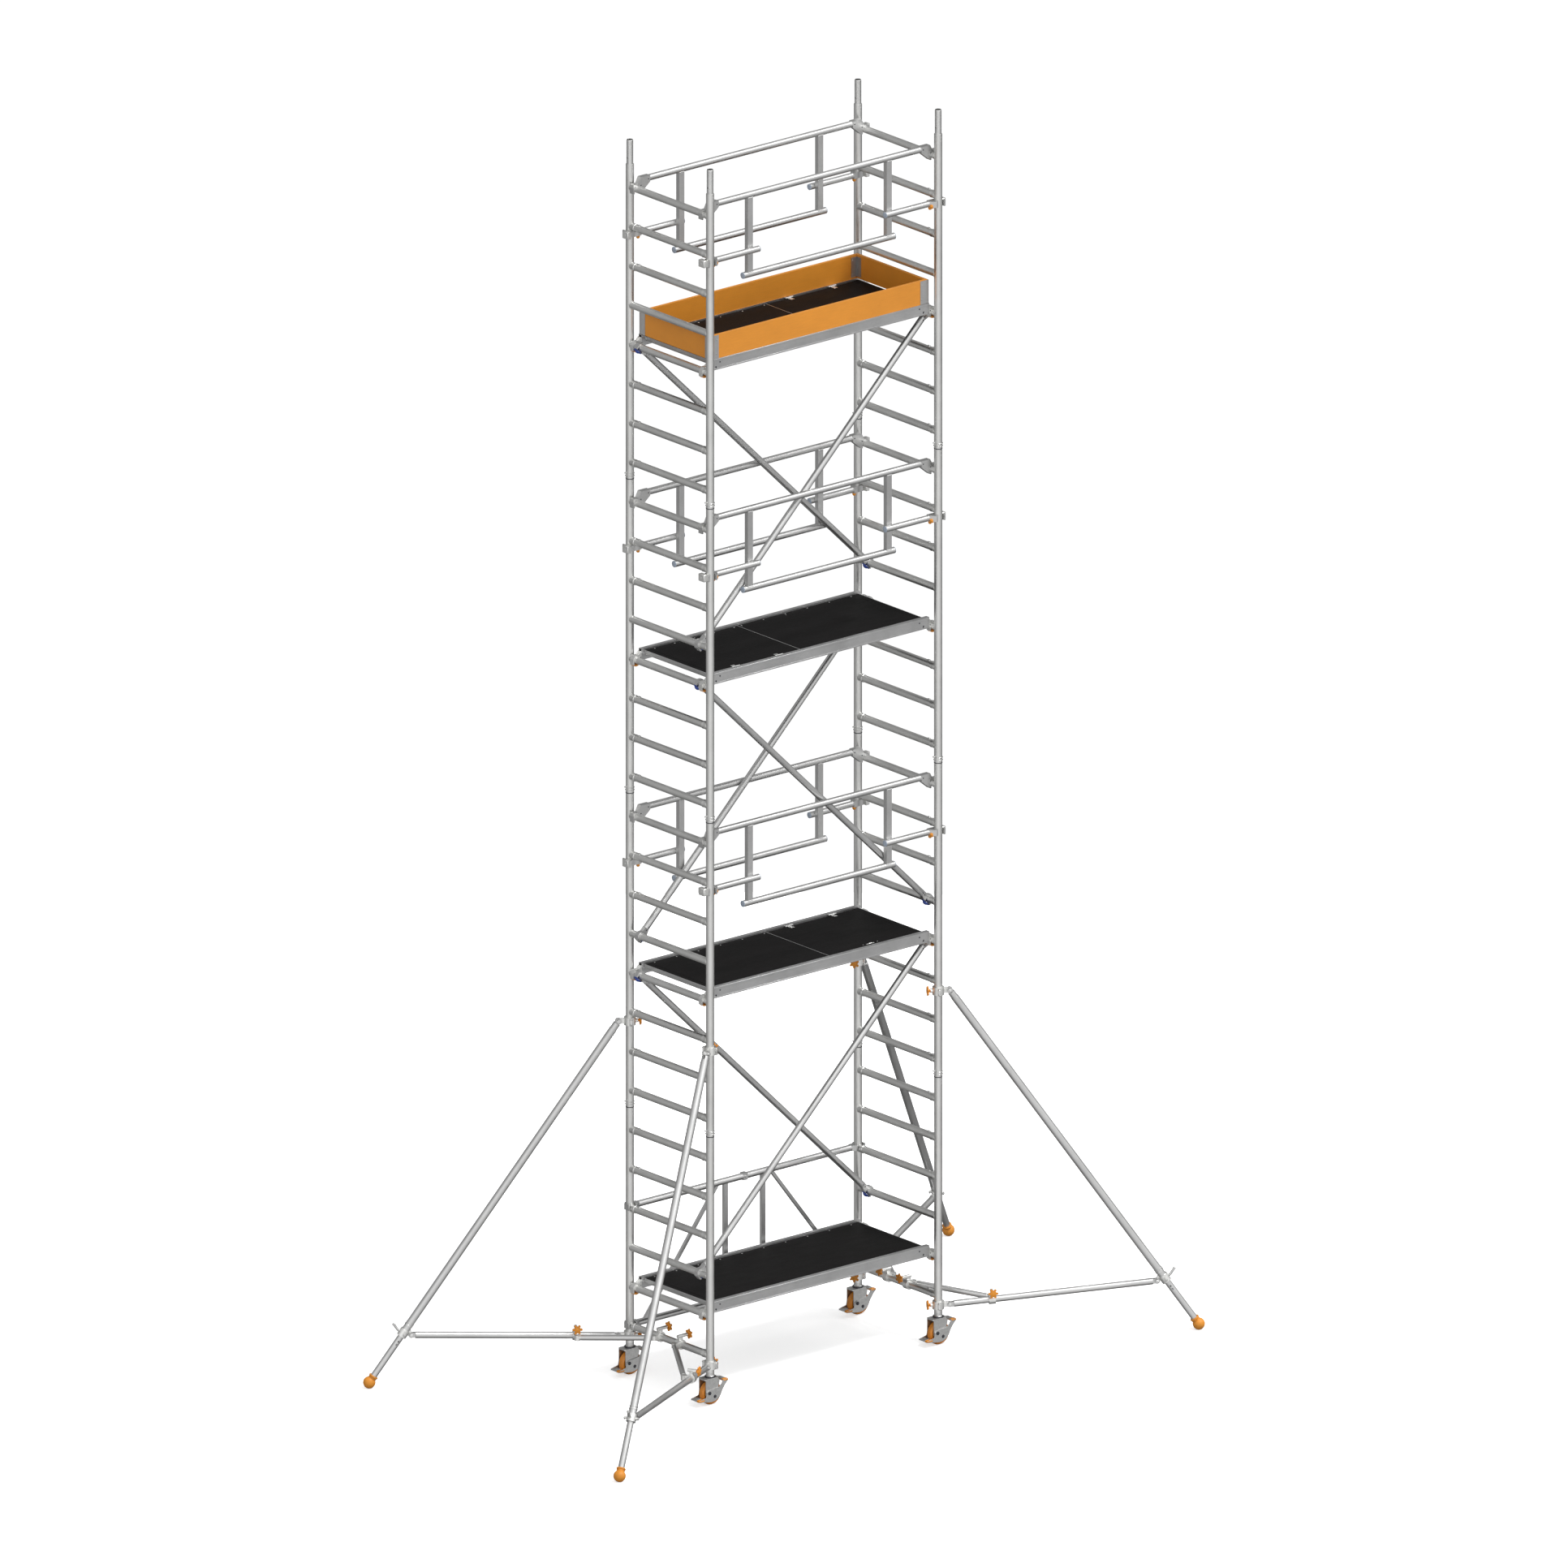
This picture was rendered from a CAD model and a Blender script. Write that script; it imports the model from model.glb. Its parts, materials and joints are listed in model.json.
"""Mobile tower scaffold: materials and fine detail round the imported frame, in metres and its axes."""
import json
import math

import bmesh
import bpy
from mathutils import Matrix, Vector


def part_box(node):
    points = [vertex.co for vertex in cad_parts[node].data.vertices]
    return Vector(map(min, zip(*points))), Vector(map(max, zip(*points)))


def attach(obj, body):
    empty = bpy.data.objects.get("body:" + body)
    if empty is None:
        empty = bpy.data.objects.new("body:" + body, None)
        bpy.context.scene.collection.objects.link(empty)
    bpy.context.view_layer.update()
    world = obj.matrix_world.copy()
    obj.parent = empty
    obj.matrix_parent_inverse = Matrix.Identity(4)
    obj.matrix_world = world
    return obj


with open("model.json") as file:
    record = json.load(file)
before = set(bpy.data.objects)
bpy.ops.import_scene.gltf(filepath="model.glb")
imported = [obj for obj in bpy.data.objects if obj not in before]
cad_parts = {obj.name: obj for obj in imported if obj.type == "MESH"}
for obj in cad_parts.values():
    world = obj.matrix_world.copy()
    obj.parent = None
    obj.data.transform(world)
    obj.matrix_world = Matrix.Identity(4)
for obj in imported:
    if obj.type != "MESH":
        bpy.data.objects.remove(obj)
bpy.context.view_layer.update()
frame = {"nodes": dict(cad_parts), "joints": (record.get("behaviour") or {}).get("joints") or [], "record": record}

# ---------- places taken from the frame ----------

JOINTS = {j["name"]: j for j in frame["joints"]}
CORNERS = {"front_left": (-1, -1), "front_right": (1, -1), "back_left": (-1, 1), "back_right": (1, 1)}
SIDES = (-1, 1)
TOWER = "tower"

HALF_L, HALF_W = JOINTS["swivel_back_right"]["pos_m"][:2]
POST_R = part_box("base_ladder_right")[1].x - HALF_L
POST_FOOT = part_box("base_ladder_right")[0].z
RUNG_PITCH = 0.25
RUNG_LIFT = 0.105
FIRST_RUNG = POST_FOOT + RUNG_LIFT
RUNG_COUNT = 30
RUNG_R = 0.022
RAIL_DROP = 0.005
DECK_Z = {n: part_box(f"deck_frame_{n}")[0].z + RAIL_DROP for n in (1, 2, 3, 4)}
GUARD_LIFT = 1.0
GUARD_Y = HALF_W - 0.055
GUARD_R = 0.020
TOP_RAIL_LIFT = GUARD_LIFT + 0.050
MID_RAIL_LIFT = TOP_RAIL_LIFT - 0.505
STUB_LIFT = MID_RAIL_LIFT + 0.160
UPRIGHT_X = 0.548
BOARD_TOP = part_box("deck_boards")[1].z - DECK_Z[4]
BOARD_HALF_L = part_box("deck_boards")[1].x
RAIL_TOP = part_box("deck_frame_4")[1].z - DECK_Z[4]
RAIL_OUT_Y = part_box("deck_frame_4")[1].y
RAIL_IN_Y = RAIL_OUT_Y - 0.028
SEAM_X = 0.120
AXLE_Z = JOINTS["spin_front_left"]["pos_m"][2]
BRAKE_OUT_Y = 0.0385
PIVOT_PIN_Y = 0.042
LOW_PEDAL_Z, HIGH_PEDAL_Z = 0.044, 0.145
OUTRIGGER_TURN = math.radians(30)
COUPLER_LOW_Z, COUPLER_TOP_Z = 0.250, 2.250
COUPLER_R = 0.036
PIVOT_R = 0.070
LEG_R, INNER_LEG_R = 0.024, 0.020
FOOT_R = 0.0375
REACH = 1.600
LEG_VECTOR = Vector((REACH - PIVOT_R, 0, FOOT_R - COUPLER_TOP_Z))
LEG_LENGTH = LEG_VECTOR.length
LEG_UNIT = LEG_VECTOR.normalized()
COLLAR_S = 0.87 * LEG_LENGTH


def leg_point(s):
    """Point on an outrigger leg at distance s below its top pivot, in the outrigger's own plane."""
    return Vector((PIVOT_R, 0, COUPLER_TOP_Z)) + LEG_UNIT * s


def rung_z(k):
    return FIRST_RUNG + k * RUNG_PITCH


# Rungs whose ends carry a claw, counted from the floor
DECK_RUNGS = {1, 9, 17, 25}
CLAW_RUNGS = DECK_RUNGS | {k + 1 for k in DECK_RUNGS} | {13, 21, 29}

# ---------- mesh building ----------

Y_AXIS, Z_AXIS = Vector((0, 1, 0)), Vector((0, 0, 1))


def at(x, y, z):
    return Matrix.Translation((x, y, z))


def facing(place, direction):
    """Matrix that moves the origin to place and turns +z to direction."""
    turn = Z_AXIS.rotation_difference(Vector(direction)).to_matrix().to_4x4()
    return Matrix.Translation(place) @ turn


def corner_matrix(corner):
    """Local +x and +y point outward from the tower at that corner."""
    sx, sy = CORNERS[corner]
    return at(sx * HALF_L, sy * HALF_W, 0) @ Matrix.Diagonal((sx, sy, 1, 1))


def outrigger_matrix(corner):
    return corner_matrix(corner) @ Matrix.Rotation(OUTRIGGER_TURN, 4, "Z")


class Shape:
    """Several simple forms collected into one mesh object."""

    def __init__(self):
        self.bm = bmesh.new()

    def add(self, points, faces, matrix):
        made = [self.bm.verts.new(matrix @ Vector(p)) for p in points]
        for face in faces:
            self.bm.faces.new([made[i] for i in face])

    def lathe(self, profile, matrix, segments=24, closed=False):
        """Turns the (radius, height) points about z; a closed profile makes a ring."""
        points, faces, rows = [], [], []
        for radius, height in profile:
            if radius == 0:
                rows.append([len(points)] * segments)
                points.append((0, 0, height))
                continue
            rows.append(range(len(points), len(points) + segments))
            for i in range(segments):
                a = 2 * math.pi * i / segments
                points.append((radius * math.cos(a), radius * math.sin(a), height))
        pairs = list(zip(rows, rows[1:]))
        if closed:
            pairs.append((rows[-1], rows[0]))
        for low, high in pairs:
            for i in range(segments):
                j = (i + 1) % segments
                face = list(dict.fromkeys((low[i], low[j], high[j], high[i])))
                if len(face) > 2:
                    faces.append(face)
        self.add(points, faces, matrix)

    def sweep(self, path, radius, matrix, sides=8, closed=False):
        """Round bar along the path; an open one gets flat ends."""
        path = [Vector(p) for p in path]
        count = len(path)
        points, faces = [], []
        normal = None
        for i, p in enumerate(path):
            ahead = path[(i + 1) % count] if closed or i < count - 1 else p
            behind = path[i - 1] if closed or i > 0 else p
            tangent = (ahead - behind).normalized()
            if normal is None:
                normal = tangent.orthogonal().normalized()
            normal = (normal - tangent * normal.dot(tangent)).normalized()
            side = tangent.cross(normal)
            for k in range(sides):
                a = 2 * math.pi * k / sides
                points.append(p + normal * (radius * math.cos(a)) + side * (radius * math.sin(a)))
        for i in range(count if closed else count - 1):
            a, b = i * sides, (i + 1) % count * sides
            for k in range(sides):
                m = (k + 1) % sides
                faces.append((a + k, a + m, b + m, b + k))
        if not closed:
            faces.append(range(sides))
            faces.append(range((count - 1) * sides, count * sides))
        self.add(points, faces, matrix)

    def block(self, size, matrix, bevel=0.001):
        """Box centred on the matrix with chamfered edges and corners."""
        half = Vector(size) / 2
        points = []
        for sx in SIDES:
            for sy in SIDES:
                for sz in SIDES:
                    for full in range(3):
                        p = [sign * (half[i] - (0 if i == full else bevel))
                             for i, sign in enumerate((sx, sy, sz))]
                        points.append(matrix @ Vector(p))
        self.hull(points)

    def hull(self, points):
        part = bmesh.new()
        for p in points:
            part.verts.new(p)
        bmesh.ops.convex_hull(part, input=part.verts)
        bmesh.ops.dissolve_limit(part, angle_limit=0.01, verts=part.verts, edges=part.edges)
        mesh = bpy.data.meshes.new("part")
        part.to_mesh(mesh)
        part.free()
        self.bm.from_mesh(mesh)
        bpy.data.meshes.remove(mesh)

    def hex_bolt(self, radius, height, matrix):
        """Washer and chamfered hexagon standing on the matrix's plane."""
        washer = height * 0.25
        self.lathe([(0, 0), (radius * 1.5, 0), (radius * 1.5, washer * 0.8), (radius * 1.4, washer),
                    (0, washer)], matrix, 20)
        self.lathe([(0, washer), (radius, washer), (radius, height * 0.85), (radius * 0.86, height),
                    (0, height)], matrix, 6)

    def rivet(self, radius, height, matrix):
        self.lathe([(0, 0), (radius, 0), (radius * 0.95, height * 0.4), (radius * 0.7, height * 0.85),
                    (radius * 0.35, height), (0, height * 1.03)], matrix, 14)

    def build(self, name, body, slot, material):
        bmesh.ops.recalc_face_normals(self.bm, faces=self.bm.faces)
        mesh = bpy.data.meshes.new(name)
        self.bm.to_mesh(mesh)
        self.bm.free()
        mesh.shade_smooth()
        mesh.set_sharp_from_angle(angle=math.radians(38))
        mesh.materials.append(material)
        piece = bpy.data.objects.new(name, mesh)
        bpy.context.scene.collection.objects.link(piece)
        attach(piece, body)
        return piece


# ---------- materials ----------

class Paint:
    """A node material under construction, with its textures in object space."""

    def __init__(self, name, metallic, roughness, specular=0.5):
        self.material = bpy.data.materials.new(name)
        self.material.use_nodes = True
        self.tree = self.material.node_tree
        self.shader = self.tree.nodes["Principled BSDF"]
        self.shader.inputs["Metallic"].default_value = metallic
        self.shader.inputs["Roughness"].default_value = roughness
        self.shader.inputs["Specular IOR Level"].default_value = specular
        self.place = self.tree.nodes.new("ShaderNodeTexCoord").outputs["Object"]
        self.normal = None

    def link(self, source, target):
        self.tree.links.new(source, target)

    def stretched(self, scale):
        mapping = self.tree.nodes.new("ShaderNodeMapping")
        mapping.inputs["Scale"].default_value = scale
        self.link(self.place, mapping.inputs["Vector"])
        return mapping.outputs["Vector"]

    def noise(self, scale, detail=4.0, rough=0.55, stretch=None):
        node = self.tree.nodes.new("ShaderNodeTexNoise")
        node.inputs["Scale"].default_value = scale
        node.inputs["Detail"].default_value = detail
        node.inputs["Roughness"].default_value = rough
        self.link(self.stretched(stretch) if stretch else self.place, node.inputs["Vector"])
        return node.outputs["Fac"]

    def cells(self, scale, output="Color", stretch=None):
        node = self.tree.nodes.new("ShaderNodeTexVoronoi")
        node.inputs["Scale"].default_value = scale
        self.link(self.stretched(stretch) if stretch else self.place, node.inputs["Vector"])
        return node.outputs[output]

    def ramp(self, source, stops):
        node = self.tree.nodes.new("ShaderNodeValToRGB")
        elements = node.color_ramp.elements
        while len(elements) < len(stops):
            elements.new(0.5)
        for element, (position, value) in zip(elements, stops):
            element.position = position
            element.color = (*value, 1) if isinstance(value, tuple) else (value, value, value, 1)
        self.link(source, node.inputs["Fac"])
        return node.outputs["Color"]

    def mix(self, fac, a, b, mode="MIX"):
        node = self.tree.nodes.new("ShaderNodeMix")
        node.data_type = "RGBA"
        node.blend_type = mode
        if isinstance(fac, float):
            node.inputs["Factor"].default_value = fac
        else:
            self.link(fac, node.inputs["Factor"])
        self.link(a, node.inputs["A"])
        self.link(b, node.inputs["B"])
        return node.outputs["Result"]

    def bump(self, height, strength, distance=0.001):
        node = self.tree.nodes.new("ShaderNodeBump")
        node.inputs["Strength"].default_value = strength
        node.inputs["Distance"].default_value = distance
        self.link(height, node.inputs["Height"])
        if self.normal is not None:
            self.link(self.normal, node.inputs["Normal"])
        self.normal = node.outputs["Normal"]

    def round_edges(self, radius):
        node = self.tree.nodes.new("ShaderNodeBevel")
        node.samples = 4
        node.inputs["Radius"].default_value = radius
        self.normal = node.outputs["Normal"]

    def finish(self, color, roughness=None):
        self.link(color, self.shader.inputs["Base Color"])
        if roughness is not None:
            self.link(roughness, self.shader.inputs["Roughness"])
        if self.normal is not None:
            self.link(self.normal, self.shader.inputs["Normal"])
        return self.material


def shade(color, factor):
    return tuple(min(1.0, c * factor) for c in color)


def aluminium(name, color, roughness, stretch):
    """Drawn tube or extrusion: faint draw lines along the stretch, oxide clouds and handling marks."""
    paint = Paint(name, 1.0, roughness)
    clouds = paint.noise(5.0, 6.0, 0.6)
    lines = paint.noise(90.0, 3.0, 0.5, stretch)
    grain = paint.noise(900.0, 2.0)
    tone = paint.ramp(clouds, [(0.3, shade(color, 0.9)), (0.55, color), (0.75, shade(color, 1.05))])
    streak = paint.ramp(lines, [(0.35, 0.93), (0.65, 1.0)])
    gloss = paint.ramp(paint.mix(0.5, lines, clouds), [(0.3, roughness - 0.07), (0.7, roughness + 0.1)])
    paint.bump(lines, 0.12, 0.0004)
    paint.bump(grain, 0.08, 0.0002)
    return paint.finish(paint.mix(1.0, tone, streak, "MULTIPLY"), gloss)


def cast_metal(name, color, roughness):
    """Sand-cast aluminium: fine pebbled skin, darker pores, rounded edges."""
    paint = Paint(name, 1.0, roughness)
    paint.round_edges(0.0015)
    skin = paint.noise(420.0, 5.0, 0.65)
    patches = paint.noise(35.0, 4.0)
    tone = paint.ramp(patches, [(0.3, shade(color, 0.86)), (0.7, color)])
    pores = paint.ramp(skin, [(0.28, 0.84), (0.42, 1.0)])
    gloss = paint.ramp(skin, [(0.3, roughness + 0.12), (0.7, roughness - 0.06)])
    paint.bump(skin, 0.35, 0.0006)
    return paint.finish(paint.mix(1.0, tone, pores, "MULTIPLY"), gloss)


def galvanised(name, color, roughness):
    """Hot-dip zinc with its spangle: angular crystals of differing tone and gloss."""
    paint = Paint(name, 1.0, roughness)
    paint.round_edges(0.0012)
    crystals = paint.cells(260.0)
    wobble = paint.noise(60.0, 5.0)
    tone = paint.ramp(crystals, [(0.1, shade(color, 0.92)), (0.5, color), (0.9, shade(color, 1.06))])
    stain = paint.ramp(wobble, [(0.3, 0.85), (0.65, 1.0)])
    gloss = paint.ramp(crystals, [(0.0, roughness - 0.04), (1.0, roughness + 0.06)])
    paint.bump(wobble, 0.18, 0.0006)
    return paint.finish(paint.mix(1.0, tone, stain, "MULTIPLY"), gloss)


def moulded(name, color, roughness, edge=0.0012, grain=520.0, coat=0.0):
    """Moulded plastic or rubber: spark-eroded grain, slight clouding, lighter rubbed edges."""
    paint = Paint(name, 0.0, roughness)
    paint.shader.inputs["Coat Weight"].default_value = coat
    paint.round_edges(edge)
    skin = paint.noise(grain, 4.0, 0.6)
    clouds = paint.noise(18.0, 5.0)
    tone = paint.ramp(clouds, [(0.3, shade(color, 0.86)), (0.55, color), (0.8, shade(color, 1.1))])
    speck = paint.ramp(skin, [(0.3, 0.92), (0.6, 1.0)])
    gloss = paint.ramp(skin, [(0.3, roughness - 0.06), (0.7, roughness + 0.1)])
    paint.bump(skin, 0.2, 0.0004)
    return paint.finish(paint.mix(1.0, tone, speck, "MULTIPLY"), gloss)


def phenolic_board(name):
    """Dark film-faced plywood with the pressed wire-mesh pattern of a platform, dusty and scuffed."""
    paint = Paint(name, 0.0, 0.6, 0.10)
    mesh_u = paint.tree.nodes.new("ShaderNodeTexWave")
    mesh_v = paint.tree.nodes.new("ShaderNodeTexWave")
    for wave, axis in ((mesh_u, "X"), (mesh_v, "Y")):
        wave.bands_direction = axis
        wave.inputs["Scale"].default_value = 48.0
        wave.inputs["Distortion"].default_value = 0.6
        wave.inputs["Detail"].default_value = 1.0
        paint.link(paint.place, wave.inputs["Vector"])
    weave = paint.mix(0.5, mesh_u.outputs["Color"], mesh_v.outputs["Color"])
    scuffs = paint.noise(3.5, 8.0, 0.7, (1.0, 2.5, 1.0))
    dust = paint.noise(160.0, 3.0)
    film = paint.ramp(scuffs, [(0.35, (0.0045, 0.0040, 0.0040)), (0.6, (0.0062, 0.0056, 0.0056)),
                               (0.85, (0.012, 0.011, 0.010))])
    pressed = paint.ramp(weave, [(0.35, 0.8), (0.75, 1.15)])
    gloss = paint.ramp(paint.mix(0.35, scuffs, dust), [(0.3, 0.46), (0.75, 0.7)])
    paint.bump(weave, 0.35, 0.0006)
    paint.bump(dust, 0.08, 0.0003)
    return paint.finish(paint.mix(1.0, film, pressed, "MULTIPLY"), gloss)


def toe_board_film(name, color):
    """Painted plywood: faint grain under a satin orange film, with scuffed streaks."""
    paint = Paint(name, 0.0, 0.42)
    paint.round_edges(0.0012)
    grain = paint.noise(26.0, 6.0, 0.65, (0.5, 6.0, 9.0))
    clouds = paint.noise(4.0, 4.0)
    tone = paint.ramp(clouds, [(0.3, shade(color, 0.93)), (0.7, shade(color, 1.05))])
    veins = paint.ramp(grain, [(0.35, 0.93), (0.6, 1.0)])
    gloss = paint.ramp(grain, [(0.3, 0.36), (0.7, 0.5)])
    paint.bump(grain, 0.12, 0.0005)
    return paint.finish(paint.mix(1.0, tone, veins, "MULTIPLY"), gloss)


MATERIALS = {
    "ladder_aluminium": aluminium("ladder_aluminium", (0.80, 0.80, 0.785), 0.36, (6.0, 6.0, 0.5)),
    "rail_aluminium": aluminium("rail_aluminium", (0.62, 0.62, 0.62), 0.42, (0.5, 6.0, 6.0)),
    "guard_aluminium": aluminium("guard_aluminium", (0.70, 0.70, 0.695), 0.38, (0.5, 6.0, 6.0)),
    "cast_aluminium": cast_metal("cast_aluminium", (0.93, 0.93, 0.91), 0.40),
    "zinc_steel": galvanised("zinc_steel", (0.80, 0.80, 0.79), 0.3),
    "galvanised_steel": galvanised("galvanised_steel", (0.68, 0.68, 0.67), 0.42),
    "phenolic_board": phenolic_board("phenolic_board"),
    "toe_board": toe_board_film("toe_board", (0.72, 0.275, 0.028)),
    "orange_plastic": moulded("orange_plastic", (0.82, 0.31, 0.03), 0.4),
    "blue_plastic": moulded("blue_plastic", (0.045, 0.085, 0.36), 0.42),
    "orange_wheel": moulded("orange_wheel", (0.76, 0.27, 0.028), 0.45, 0.002, 260.0, 0.1),
    "orange_rubber": moulded("orange_rubber", (0.78, 0.30, 0.03), 0.5, 0.002, 300.0),
}
SLATE_PLASTIC = moulded("slate_plastic", (0.40, 0.46, 0.55), 0.45)
DARK_STEEL = galvanised("dark_steel", (0.10, 0.10, 0.11), 0.45)

for subpart in frame["record"]["subparts"]:
    node = frame["nodes"][subpart["node"]]
    node.data.materials.clear()
    node.data.materials.append(MATERIALS[subpart["material_slot"]])


def finish_piece(shape, name, body, slot, material=None):
    return shape.build(name, body, slot, material or MATERIALS[slot])


# ---------- ladder frames ----------

def rung_welds():
    """A bead where each rung's end meets the curve of its post."""
    bead_r, steps = 0.0026, 22
    shape = Shape()
    for k in range(RUNG_COUNT):
        for sx in SIDES:
            for sy in SIDES:
                path = []
                for i in range(steps):
                    a = 2 * math.pi * i / steps
                    x = (RUNG_R + 0.0008) * math.cos(a)
                    inward = math.sqrt((POST_R + 0.0006) ** 2 - x * x)
                    path.append((x, -inward, (RUNG_R + 0.0008) * math.sin(a)))
                place = at(sx * HALF_L, sy * HALF_W, rung_z(k)) @ Matrix.Diagonal((1, sy, 1, 1))
                shape.sweep(path, bead_r, place, 6, closed=True)
    finish_piece(shape, "rung_welds", TOWER, "ladder_aluminium")


def rung_sleeves():
    """Thicker swaged ends on the rungs that carry no claw."""
    end, start, lift = 0.060, 0.024, 0.0016
    shape = Shape()
    profile = [(RUNG_R + 0.0002, start), (RUNG_R + lift, start), (RUNG_R + lift, end - 0.010),
               (RUNG_R + lift + 0.0012, end - 0.007), (RUNG_R + lift + 0.0012, end - 0.003),
               (RUNG_R + 0.0002, end)]
    for k in sorted(set(range(RUNG_COUNT)) - CLAW_RUNGS):
        for sx in SIDES:
            for sy in SIDES:
                place = facing((sx * HALF_L, sy * HALF_W, rung_z(k)), (0, -sy, 0))
                shape.lathe(profile, place, 28)
    finish_piece(shape, "rung_sleeves", TOWER, "ladder_aluminium")


def rung_tabs():
    """Bright tab on top of each free rung: near the back on the left, near the front on the right."""
    shape = Shape()
    for k in sorted(set(range(RUNG_COUNT)) - CLAW_RUNGS):
        for s in SIDES:
            place = at(s * HALF_L, -s * (HALF_W - 0.088), rung_z(k) + RUNG_R + 0.0012)
            shape.block((0.014, 0.022, 0.0050), place, 0.0012)
    finish_piece(shape, "rung_tabs", TOWER, "zinc_steel")


def post_collars():
    """Dark pressed bead at each joint between two frames."""
    shape = Shape()
    ring = [(POST_R + 0.0001, -0.004), (POST_R + 0.0014, -0.003), (POST_R + 0.0014, 0.001),
            (POST_R + 0.0001, 0.002)]
    for joint in (6, 14, 22):
        for sx, sy in CORNERS.values():
            z = rung_z(joint) - RUNG_LIFT
            shape.lathe(ring, at(sx * HALF_L, sy * HALF_W, z), 32, closed=True)
    finish_piece(shape, "post_joint_beads", TOWER, "zinc_steel", DARK_STEEL)


# ---------- guardrails and braces ----------

def tube_plugs():
    """Slate end plugs in the open ends of the middle rails and the short rails."""
    shape = Shape()

    def plug(x, y, z, radius, out):
        profile = [(radius - 0.0035, -0.012), (radius - 0.0030, 0.0004), (radius + 0.0002, 0.0006),
                   (radius + 0.0002, 0.0030), (radius - 0.003, 0.0046), (0, 0.0052)]
        shape.lathe(profile, facing((x, y, z), (out, 0, 0)), 28)

    for n in (2, 3, 4):
        for sy in SIDES:
            for sx in SIDES:
                plug(sx * (UPRIGHT_X + 0.047), sy * GUARD_Y, DECK_Z[n] + MID_RAIL_LIFT, GUARD_R, sx)
                plug(sx * 0.500, sy * (GUARD_Y + 0.0341), DECK_Z[n] + STUB_LIFT, 0.019, -sx)
    finish_piece(shape, "tube_plugs", TOWER, "blue_plastic", SLATE_PLASTIC)


def claw_rivets():
    """Dark rivets through the cast claws of guardrails, platforms and braces."""
    shape = Shape()

    def pair(x, y, z, half, radius=0.0042):
        for s in SIDES:
            shape.rivet(radius, 0.0022, facing((x, y + s * half, z), (0, s, 0)))

    for n, deck_z in DECK_Z.items():
        for sx in SIDES:
            for sy in SIDES:
                if n > 1:
                    z = deck_z + GUARD_LIFT
                    pair(sx * (HALF_L - 0.086), sy * GUARD_Y, z + 0.050, 0.018)
                    pair(sx * (HALF_L - 0.027), sy * GUARD_Y, z + 0.020, 0.018)
                pair(sx * (HALF_L - 0.029), sy * GUARD_Y, deck_z + 0.014, 0.015, 0.0036)
    for bay in (1, 2, 3):
        low, high = DECK_Z[bay] + RUNG_PITCH, DECK_Z[bay + 1]
        run = Vector((2 * HALF_L, 0, high - low)).normalized()
        for face in SIDES:
            s = -face * (1 if bay == 2 else -1)
            y = face * (HALF_W - 0.097)
            for side, z, rise in ((s, low, 1), (-s, high, -1)):
                for reach, half in ((0.050, 0.015), (0.074, 0.0203)):
                    pair(side * (HALF_L - reach * run.x), y, z + rise * reach * run.z, half)
    finish_piece(shape, "claw_rivets", TOWER, "galvanised_steel", DARK_STEEL)


def guard_clips():
    """Cast clip blocks on the outer side of the posts, and the domes of their orange locks."""
    clips, domes = Shape(), Shape()
    dome = [(0.0, 0.0150), (0.008, 0.0140), (0.0135, 0.0105), (0.0165, 0.004), (0.0165, -0.001),
            (0.0, -0.001)]
    for n in (2, 3, 4):
        z = DECK_Z[n] + STUB_LIFT
        for sx in SIDES:
            for sy in SIDES:
                block = at(sx * (HALF_L + 0.0405), sy * (HALF_W - 0.0197), z)
                clips.block((0.030, 0.054, 0.046), block, 0.003)
                clips.rivet(0.0042, 0.0016, block @ facing((sx * 0.015, 0, 0), (sx, 0, 0)))
                arm = (sx * (HALF_L - 0.046), sy * (HALF_W - 0.0038), z - 0.012)
                domes.lathe(dome, facing(arm, (0, sy, 0)), 28)
    finish_piece(clips, "post_clips", TOWER, "cast_aluminium")
    finish_piece(domes, "post_clip_domes", TOWER, "orange_plastic")


def claw_corners():
    """Square shoulders on the cast claws that sit on the rungs."""
    shape = Shape()
    outer, inner, half = 0.0320, 0.0110, 0.0186
    for n in (2, 3, 4):
        for sx in SIDES:
            for sy in SIDES:
                rung = at(sx * HALF_L, sy * GUARD_Y, DECK_Z[n] + GUARD_LIFT)
                place = rung @ Matrix.Diagonal((sx, 1, 1, 1))
                shape.hull([place @ Vector((dx, side * half, dz)) for side in SIDES
                            for dx, dz in ((outer, inner), (inner, outer), (outer, outer))])
    finish_piece(shape, "claw_shoulders", TOWER, "cast_aluminium")


def upright_welds():
    """Short beads where the box uprights land on the rails."""
    shape = Shape()
    for n in (2, 3, 4):
        for z, side in ((DECK_Z[n] + TOP_RAIL_LIFT, -1), (DECK_Z[n] + MID_RAIL_LIFT, 1)):
            for sy in SIDES:
                for sx in SIDES:
                    for face in SIDES:
                        y = face * 0.0152
                        dz = side * math.sqrt((GUARD_R + 0.001) ** 2 - 0.015 ** 2)
                        path = [(sx * UPRIGHT_X + t, sy * GUARD_Y + y, z + dz)
                                for t in (-0.019, 0, 0.019)]
                        shape.sweep(path, 0.0022, Matrix.Identity(4), 6)
    finish_piece(shape, "upright_welds", TOWER, "guard_aluminium")


# ---------- platforms ----------

def hatch_matrix(n):
    """The hatch of platform 3 is turned half round against those of platforms 2 and 4."""
    return at(0, 0, DECK_Z[n]) @ Matrix.Rotation(math.pi if n == 3 else 0, 4, "Z")


def screw_row(shape, low_x, high_x, y, matrix):
    count = max(2, round((high_x - low_x) / 0.17))
    for i in range(count + 1):
        x = low_x + (high_x - low_x) * i / count
        shape.rivet(0.0048, 0.0016, matrix @ at(x, y, BOARD_TOP))


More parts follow.
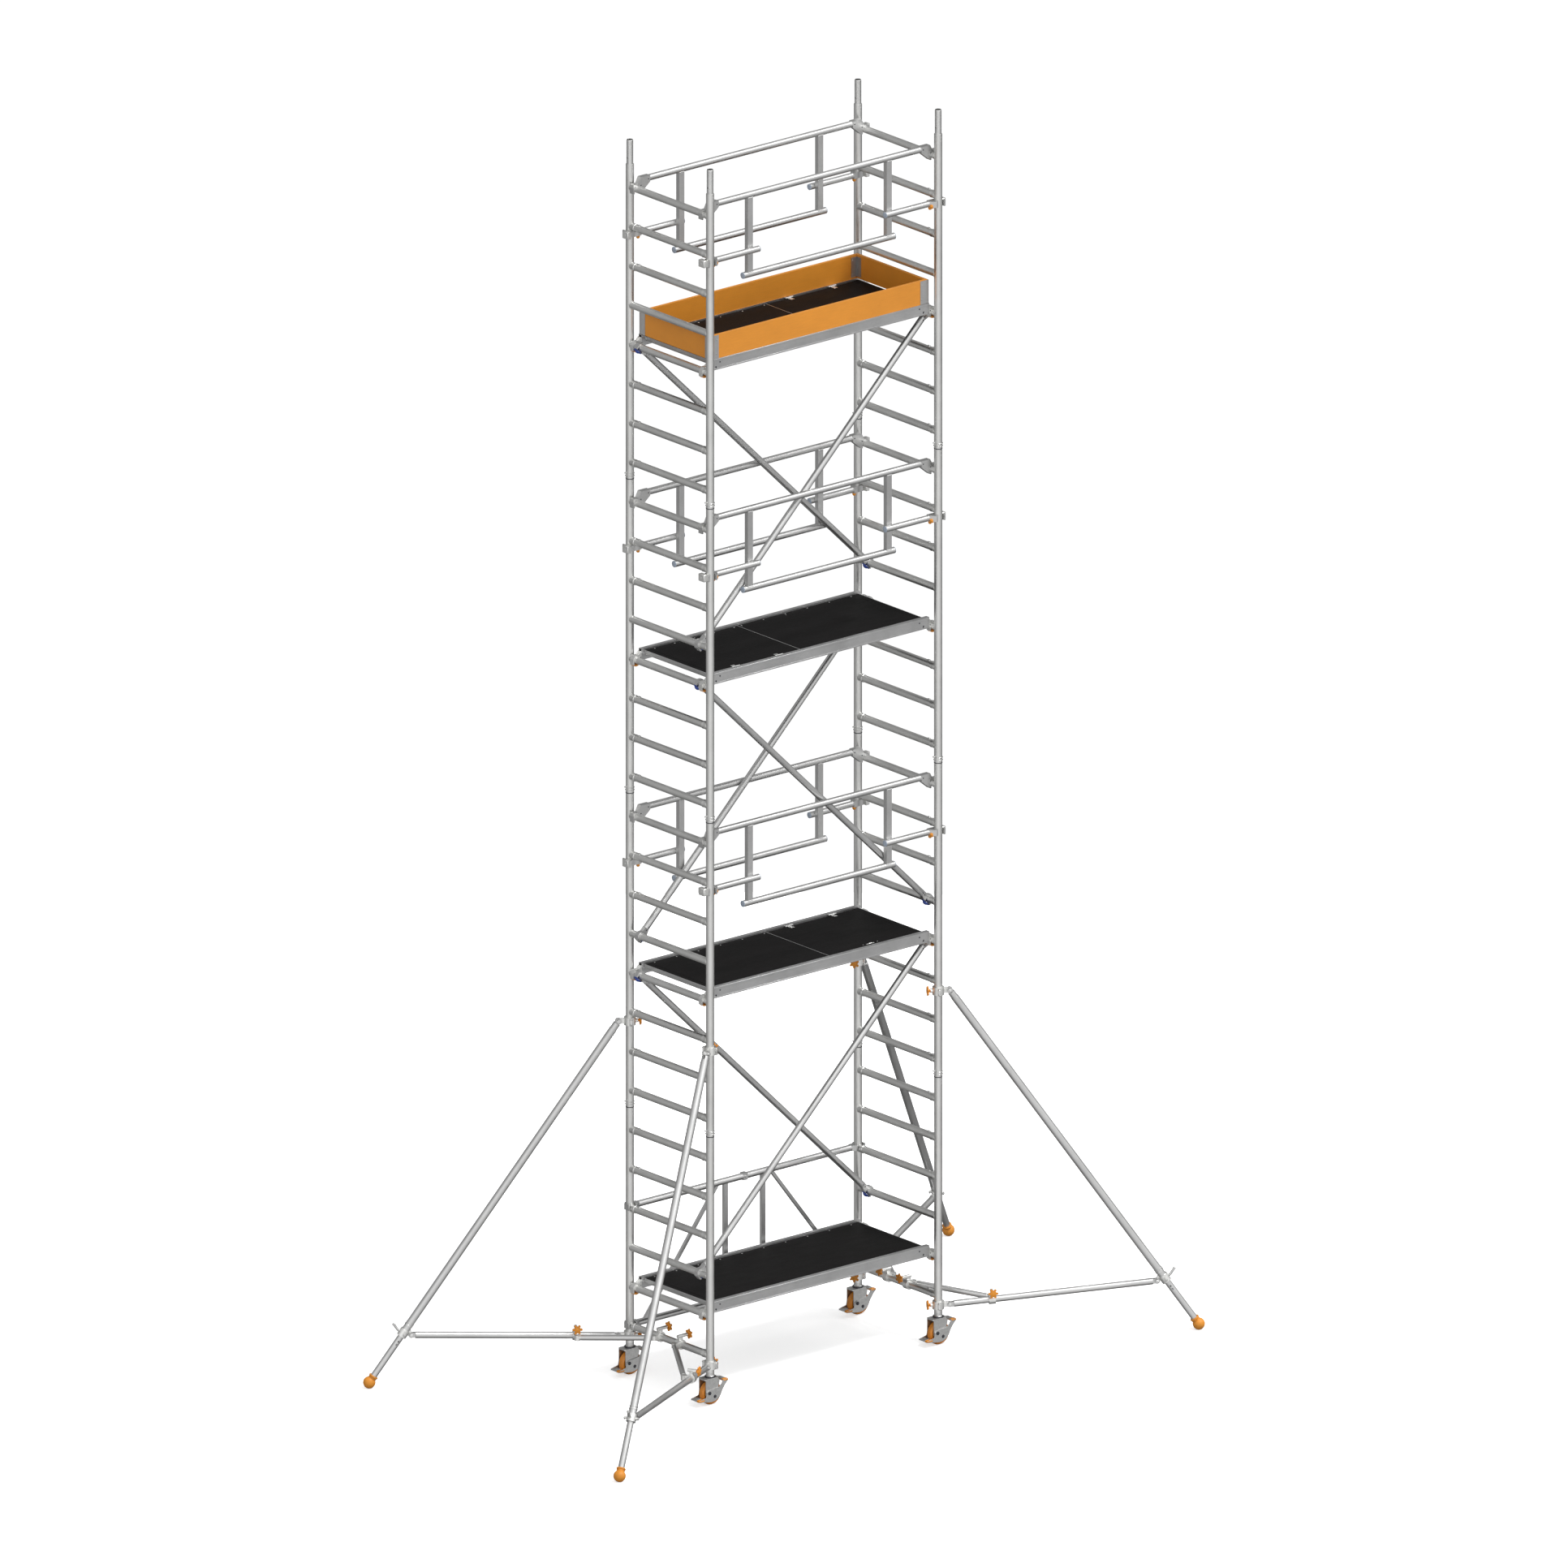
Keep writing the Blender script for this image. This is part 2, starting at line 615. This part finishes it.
def board_screws():
    """Countersunk screw heads along both edges of each fixed board."""
    shape = Shape()
    inset = RAIL_IN_Y - 0.016
    for n in DECK_Z:
        matrix = at(0, 0, DECK_Z[n]) if n == 1 else hatch_matrix(n)
        high = BOARD_HALF_L - 0.03 if n == 1 else SEAM_X - 0.03
        for s in SIDES:
            screw_row(shape, -BOARD_HALF_L + 0.03, high, s * inset, matrix)
    finish_piece(shape, "board_screws", TOWER, "zinc_steel")


def seam_trims():
    """Thin pale trim along the seam between the fixed board and the hatch."""
    shape = Shape()
    for n in (2, 3, 4):
        place = hatch_matrix(n) @ at(SEAM_X - 0.0052, 0, BOARD_TOP + 0.0003)
        shape.block((0.0045, 2 * (RAIL_IN_Y - 0.002), 0.0012), place, 0.0003)
    finish_piece(shape, "seam_trims", TOWER, "rail_aluminium")


def rail_rivets():
    """Two dark rivets at each end of the side rails, where the claws are fixed inside."""
    shape = Shape()
    for deck_z in DECK_Z.values():
        for sx in SIDES:
            for sy in SIDES:
                for x, lift in ((0.787, 0.041), (0.819, 0.015)):
                    place = (sx * x, sy * (RAIL_OUT_Y + 0.0002), deck_z + lift)
                    shape.rivet(0.0052, 0.0022, facing(place, (0, sy, 0)))
    finish_piece(shape, "rail_rivets", TOWER, "galvanised_steel", DARK_STEEL)


def board_ends():
    """Filled strip and edge trim between each board's end and the rungs."""
    strips, trims = Shape(), Shape()
    start, end, thick = BOARD_HALF_L + 0.0012, BOARD_HALF_L + 0.0370, 0.011
    width = 2 * (RAIL_IN_Y - 0.0015)
    for deck_z in DECK_Z.values():
        for sx in SIDES:
            mid = at(sx * (start + end) / 2, 0, deck_z + BOARD_TOP - thick / 2)
            strips.block((end - start, width, thick), mid, 0.0008)
            trim = at(sx * (end + 0.0022), 0, deck_z + BOARD_TOP - 0.012)
            trims.block((0.0040, width, 0.026), trim, 0.0008)
    finish_piece(strips, "board_end_strips", TOWER, "phenolic_board")
    finish_piece(trims, "board_end_trims", TOWER, "rail_aluminium")


def rail_lips():
    """Bright extruded lip along the top outer edge of each side rail, and a groove strip below."""
    shape = Shape()
    length = 2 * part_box("deck_frame_4")[1].x - 0.004
    for deck_z in DECK_Z.values():
        for s in SIDES:
            lip = at(0, s * (RAIL_OUT_Y + 0.0009), deck_z + RAIL_TOP - 0.007)
            shape.block((length, 0.0030, 0.0130), lip, 0.0008)
            foot = at(0, s * (RAIL_OUT_Y + 0.0006), deck_z + 0.001)
            shape.block((length, 0.0020, 0.0060), foot, 0.0006)
    finish_piece(shape, "rail_lips", TOWER, "rail_aluminium")


def hatch_fittings(n):
    """Hinge leaves with their screws, the latch with its finger ring, and the screws of the leaf."""
    body = f"hatch_{n}_leaf"
    matrix = hatch_matrix(n)
    mid_x = (BOARD_HALF_L + SEAM_X) / 2
    axis_y, axis_z = abs(JOINTS[f"hatch_{n}_hinge"]["pos_m"][1]), BOARD_TOP + 0.005
    shape = Shape()
    for dx in (-0.170, 0.170):
        leaf = matrix @ at(mid_x + dx, axis_y - 0.0195, BOARD_TOP + 0.0022)
        shape.block((0.0284, 0.0370, 0.0012), leaf, 0.0004)
        for sx in SIDES:
            shape.rivet(0.0032, 0.0012, leaf @ at(sx * 0.008, -0.010, 0.0006))
        knuckle = matrix @ facing((mid_x + dx, axis_y, axis_z), (1, 0, 0))
        shape.lathe([(0.0050, -0.0139), (0.0053, -0.0139), (0.0053, 0.0139), (0.0050, 0.0139)],
                    knuckle, 24, closed=True)
    finish_piece(shape, f"hatch_{n}_leaves", body, "zinc_steel")

    latch = Shape()
    free_y = -RAIL_IN_Y + 0.004
    place = matrix @ at(mid_x, free_y + 0.045, BOARD_TOP)
    latch.block((0.066, 0.0185, 0.0030), place @ at(0, 0, -0.0034), 0.0008)
    ring = [(0.020 * math.cos(a) * 0.9, 0.0062 * math.sin(a), -0.0008)
            for a in [2 * math.pi * i / 20 for i in range(20)]]
    latch.sweep(ring, 0.0011, place, 6, closed=True)
    for s in SIDES:
        latch.rivet(0.0036, 0.0015, place @ at(s * 0.056, 0, 0))
        latch.rivet(0.0036, 0.0015, place @ at(s * 0.026, 0, -0.0019))
    finish_piece(latch, f"hatch_{n}_latch", body, "zinc_steel")

    screws = Shape()
    screw_row(screws, SEAM_X + 0.03, BOARD_HALF_L - 0.03, free_y + 0.014, matrix)
    finish_piece(screws, f"hatch_{n}_screws", body, "zinc_steel")


# ---------- castors ----------

def castor_fittings(corner):
    """Bearing cup and pivot nuts of the fork, and the bolts, pedal caps and treads of the brake."""
    x, y, _ = JOINTS[f"swivel_{corner}"]["pos_m"]
    fork_body, brake_body = f"castor_{corner}", f"brake_{corner}_body"
    plate_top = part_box(f"castor_fork_{corner}")[1].z
    pivot_x, _, pivot_z = JOINTS[f"brake_pedal_{corner}"]["pos_m"]

    cup = Shape()
    cup.lathe([(0.0295, plate_top - 0.001), (0.0336, plate_top - 0.001), (0.0338, plate_top + 0.004),
               (0.0328, plate_top + 0.008), (0.0310, plate_top + 0.0085), (0.0295, plate_top + 0.006)],
              at(x, y, 0), 40, closed=True)
    finish_piece(cup, f"bearing_cup_{corner}", fork_body, "galvanised_steel", DARK_STEEL)

    pivots, bolts = Shape(), Shape()
    for s in SIDES:
        pivots.hex_bolt(0.0072, 0.005, facing((pivot_x, y + s * PIVOT_PIN_Y, pivot_z), (0, s, 0)))
        low_bolt = (x + 0.007, y + s * BRAKE_OUT_Y, AXLE_Z - 0.019)
        bolts.hex_bolt(0.0072, 0.005, facing(low_bolt, (0, s, 0)))
    finish_piece(pivots, f"pivot_nuts_{corner}", fork_body, "zinc_steel", DARK_STEEL)
    finish_piece(bolts, f"brake_bolts_{corner}", brake_body, "zinc_steel", DARK_STEEL)

    low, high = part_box(f"brake_{corner}")
    pedal_y = y - BRAKE_OUT_Y
    caps = Shape()
    caps.block((0.047, 0.026, 0.0125), at(low.x + 0.0225, pedal_y + 0.0122, LOW_PEDAL_Z), 0.003)
    caps.block((0.038, 0.024, 0.0125), at(high.x - 0.0178, pedal_y + 0.0112, HIGH_PEDAL_Z), 0.003)
    finish_piece(caps, f"pedal_caps_{corner}", brake_body, "orange_plastic")

    ribs = Shape()
    on_top = 0.0045
    for i in range(5):
        rib = at(low.x + 0.010 + 0.007 * i, y + 0.010, LOW_PEDAL_Z + on_top)
        ribs.block((0.0030, 0.040, 0.0022), rib, 0.0008)
    for i in range(3):
        rib = at(high.x - 0.026 + 0.008 * i, y + 0.012, HIGH_PEDAL_Z + on_top)
        ribs.block((0.0030, 0.038, 0.0022), rib, 0.0008)
    finish_piece(ribs, f"pedal_ribs_{corner}", brake_body, "galvanised_steel")


def wheel_hub(corner):
    """Hub caps and eight web ribs a side on the wheel."""
    x, y, z = JOINTS[f"spin_{corner}"]["pos_m"]
    shape = Shape()
    for s in SIDES:
        for i in range(8):
            turn = Matrix.Rotation(2 * math.pi * i / 8, 4, "Z")
            place = facing((x, y, z), (0, s, 0)) @ turn @ at(0.0365, 0, 0.0130)
            shape.block((0.032, 0.0042, 0.0075), place, 0.001)
        shape.lathe([(0.0235, 0.012), (0.0235, 0.0262), (0.0215, 0.0275), (0.0202, 0.0262),
                     (0.0202, 0.012)], facing((x, y, z), (0, s, 0)), 32)
    finish_piece(shape, f"wheel_ribs_{corner}", f"wheel_{corner}_body", "orange_wheel")


# ---------- outriggers ----------

def coupler_fittings():
    """Hinge bolts and swing bolts of the post couplers, and the pivot bolts of legs and struts."""
    shape = Shape()
    for corner in CORNERS:
        matrix = outrigger_matrix(corner)
        for z in (COUPLER_LOW_Z, COUPLER_TOP_Z):
            for s in SIDES:
                lug = matrix @ at(0, s * (COUPLER_R + 0.005), z)
                shape.block((0.017, 0.014, 0.030), lug, 0.002)
                shape.hex_bolt(0.0075, 0.008, lug @ facing((0, 0, 0.015), (0, 0, 1)))
                shape.hex_bolt(0.0075, 0.008, lug @ facing((0, 0, -0.015), (0, 0, -1)))
        collar = leg_point(COLLAR_S)
        for centre in (Vector((PIVOT_R, 0, COUPLER_TOP_Z)), Vector((PIVOT_R, 0, COUPLER_LOW_Z)),
                       Vector((collar.x - 0.058, 0, collar.z))):
            for s in SIDES:
                place = matrix @ facing(centre + Vector((0, s * 0.018, 0)), (0, s, 0))
                shape.hex_bolt(0.0085, 0.008, place)
    finish_piece(shape, "coupler_bolts", TOWER, "zinc_steel")


def leg_pins():
    """Locking pin of each leg with its bent grip, and the bolt heads beside it."""
    shape = Shape()
    for corner in CORNERS:
        matrix = outrigger_matrix(corner)
        centre = leg_point(COLLAR_S - 0.018)
        out = Vector((LEG_UNIT.z, 0, -LEG_UNIT.x)) * -1
        start = centre + out * 0.030
        bend = start + out * 0.012
        tip = bend + (out * 0.62 + Vector((0, 0, 1)) * 0.4).normalized() * 0.041
        shape.sweep([start, bend, (bend + tip) / 2, tip], 0.0078, matrix, 14)
        shape.lathe([(0, 0), (0.0088, 0), (0.0096, 0.004), (0.007, 0.008), (0, 0.009)],
                    matrix @ facing(tip, tip - bend), 16)
        for s in SIDES:
            shape.hex_bolt(0.0075, 0.007, matrix @ facing(centre + Vector((0, s * 0.042, 0)), (0, s, 0)))
    finish_piece(shape, "leg_pins", TOWER, "galvanised_steel")


def leg_rings():
    """Swaged ring on each outer leg above its collar, and the end ring below it."""
    shape = Shape()
    for corner in CORNERS:
        for lift, half in ((-0.077, 0.006), (-0.092, 0.003)):
            place = outrigger_matrix(corner) @ facing(leg_point(COLLAR_S + lift), LEG_UNIT)
            shape.lathe([(LEG_R + 0.0002, -half), (LEG_R + 0.0022, -half + 0.001),
                         (LEG_R + 0.0022, half - 0.001), (LEG_R + 0.0002, half)], place, 32, closed=True)
    finish_piece(shape, "leg_rings", TOWER, "zinc_steel")


def leg_disc(shape, centre, side, radius, matrix, steps=20):
    """Thin round plate bent to an inner leg's surface, on its left or right side."""
    across = Y_AXIS.cross(LEG_UNIT)
    points, faces = [], []
    for bend_r in (INNER_LEG_R + 0.0001, INNER_LEG_R - 0.001):
        points.append(centre + Y_AXIS * side * bend_r)
        for i in range(steps):
            a = 2 * math.pi * i / steps
            b = radius * math.sin(a)
            rise = side * math.sqrt(bend_r ** 2 - b * b)
            points.append(centre + LEG_UNIT * radius * math.cos(a) + across * b + Y_AXIS * rise)
    low = steps + 1
    for i in range(steps):
        j = (i + 1) % steps
        faces += [(0, 1 + i, 1 + j), (low, low + 1 + j, low + 1 + i),
                  (1 + i, low + 1 + i, low + 1 + j, 1 + j)]
    shape.add(points, faces, matrix)


def foot_ribs(corner):
    """Moulded rings round the neck and the tread of the rubber foot."""
    shape = Shape()
    matrix = outrigger_matrix(corner)
    axis = facing(leg_point(LEG_LENGTH), -LEG_UNIT)
    for height, radius in ((0.0345, 0.0247), (0.0455, 0.0277)):
        ring = [(radius - 0.001, height - 0.003), (radius + 0.0012, height - 0.0015),
                (radius + 0.0012, height + 0.0015), (radius - 0.001, height + 0.003)]
        shape.lathe(ring, matrix @ axis, 32, closed=True)
    finish_piece(shape, f"foot_rings_{corner}", f"leg_{corner}", "orange_rubber")

    bushes = Shape()
    for s in SIDES:
        leg_disc(bushes, leg_point(COLLAR_S + 0.062), s, 0.0062, matrix)
    finish_piece(bushes, f"pin_bushes_{corner}", f"leg_{corner}", "zinc_steel", DARK_STEEL)


# ---------- stage ----------

def stage():
    """White floor that metal does not mirror, and soft panels of light for the metal to reflect."""
    bpy.ops.mesh.primitive_circle_add(vertices=96, radius=9.0, fill_type="NGON")
    floor = bpy.context.object
    floor.name = "studio_floor"
    paint = Paint("studio_floor", 0.0, 0.9, 0.1)
    seen = paint.tree.nodes.new("ShaderNodeLightPath").outputs["Is Camera Ray"]
    pale = paint.ramp(paint.noise(0.4, 2.0), [(0.0, 0.93), (1.0, 0.95)])
    grey = paint.ramp(paint.noise(0.4, 2.0), [(0.0, 0.28), (1.0, 0.30)])
    paint.shader.inputs["Emission Color"].default_value = (1, 1, 1, 1)
    paint.link(paint.ramp(seen, [(0.0, 0.0), (1.0, 0.55)]), paint.shader.inputs["Emission Strength"])
    glossy = paint.tree.nodes.new("ShaderNodeLightPath").outputs["Is Glossy Ray"]
    paint.link(paint.ramp(glossy, [(0.0, 1.0), (1.0, 0.0)]), paint.shader.inputs["Alpha"])
    floor.data.materials.append(paint.finish(paint.mix(seen, grey, pale)))

    world = bpy.data.worlds.new("studio")
    bpy.context.scene.world = world
    world.use_nodes = True
    tree = world.node_tree
    tree.nodes.clear()

    def node(kind, **values):
        made = tree.nodes.new(kind)
        for key, value in values.items():
            setattr(made, key, value)
        return made

    def math_node(operation, a, b):
        made = node("ShaderNodeMath", operation=operation)
        for slot, value in zip(made.inputs, (a, b)):
            if isinstance(value, float):
                slot.default_value = value
            else:
                tree.links.new(value, slot)
        return made.outputs[0]

    ray = node("ShaderNodeTexCoord").outputs["Generated"]
    split = node("ShaderNodeSeparateXYZ")
    tree.links.new(ray, split.inputs[0])
    x, y, z = split.outputs

    def lobe(direction, power, strength):
        """Soft panel of light round that direction."""
        weights = [math_node("MULTIPLY", axis, part) for axis, part in zip((x, y, z), direction)]
        facing_it = math_node("ADD", math_node("ADD", weights[0], weights[1]), weights[2])
        return math_node("MULTIPLY", math_node("POWER", math_node("MAXIMUM", facing_it, 0.0), power),
                         strength)

    front = lobe((-0.34, -0.94, 0.0), 1.2, 0.80)
    left = lobe((-1.0, 0.0, 0.0), 1.0, 0.28)
    high_right = lobe((0.50, -0.50, 0.71), 4.0, 0.85)
    top = lobe((0.0, 0.0, 1.0), 1.5, 0.20)
    low = math_node("MULTIPLY", math_node("MINIMUM", z, 0.0), 0.22)
    total = math_node("ADD", math_node("ADD", front, left), math_node("ADD", high_right, top))
    total = math_node("MAXIMUM", math_node("ADD", math_node("ADD", total, low), 0.28), 0.06)
    studio = node("ShaderNodeBackground")
    tree.links.new(total, studio.inputs["Strength"])
    white = node("ShaderNodeBackground")
    white.inputs["Color"].default_value = (1, 1, 1, 1)
    white.inputs["Strength"].default_value = 1.05
    mixer = node("ShaderNodeMixShader")
    tree.links.new(node("ShaderNodeLightPath").outputs["Is Camera Ray"], mixer.inputs[0])
    tree.links.new(studio.outputs[0], mixer.inputs[1])
    tree.links.new(white.outputs[0], mixer.inputs[2])
    tree.links.new(mixer.outputs[0], node("ShaderNodeOutputWorld").inputs["Surface"])


def sun(name, energy, spread, azimuth, elevation):
    """Light from that azimuth, measured from -Y towards +X, and that height over the floor."""
    light = bpy.data.lights.new(name, "SUN")
    light.energy = energy
    light.angle = math.radians(spread)
    lamp = bpy.data.objects.new(name, light)
    a, e = math.radians(azimuth), math.radians(elevation)
    source = Vector((math.sin(a) * math.cos(e), -math.cos(a) * math.cos(e), math.sin(e)))
    lamp.rotation_euler = source.to_track_quat("Z", "Y").to_euler()
    bpy.context.scene.collection.objects.link(lamp)


def camera():
    """Parallel view from the left front, a little above the horizon."""
    azimuth, elevation, distance = math.radians(-40.0), math.radians(18.28), 30.0
    target = Vector((0.0, 0.0, 3.66))
    back = Vector((math.sin(azimuth) * math.cos(elevation), -math.cos(azimuth) * math.cos(elevation),
                   math.sin(elevation)))
    lens = bpy.data.cameras.new("camera")
    lens.type = "ORTHO"
    lens.ortho_scale = 9.48
    lens.clip_end = 200.0
    eye = bpy.data.objects.new("camera", lens)
    eye.location = target + back * distance
    eye.rotation_euler = back.to_track_quat("Z", "Y").to_euler()
    bpy.context.scene.collection.objects.link(eye)
    bpy.context.scene.camera = eye


camera()
rung_welds()
rung_sleeves()
rung_tabs()
post_collars()
tube_plugs()
claw_rivets()
guard_clips()
claw_corners()
upright_welds()
board_screws()
seam_trims()
rail_rivets()
board_ends()
rail_lips()
for number in (2, 3, 4):
    hatch_fittings(number)
for name in CORNERS:
    castor_fittings(name)
    wheel_hub(name)
    foot_ribs(name)
coupler_fittings()
leg_pins()
leg_rings()
stage()
sun("key", 1.6, 10.0, 18.0, 62.0)
sun("side", 0.25, 18.0, 60.0, 45.0)
sun("fill", 0.25, 60.0, -75.0, 30.0)
bpy.context.scene.view_settings.view_transform = "Standard"
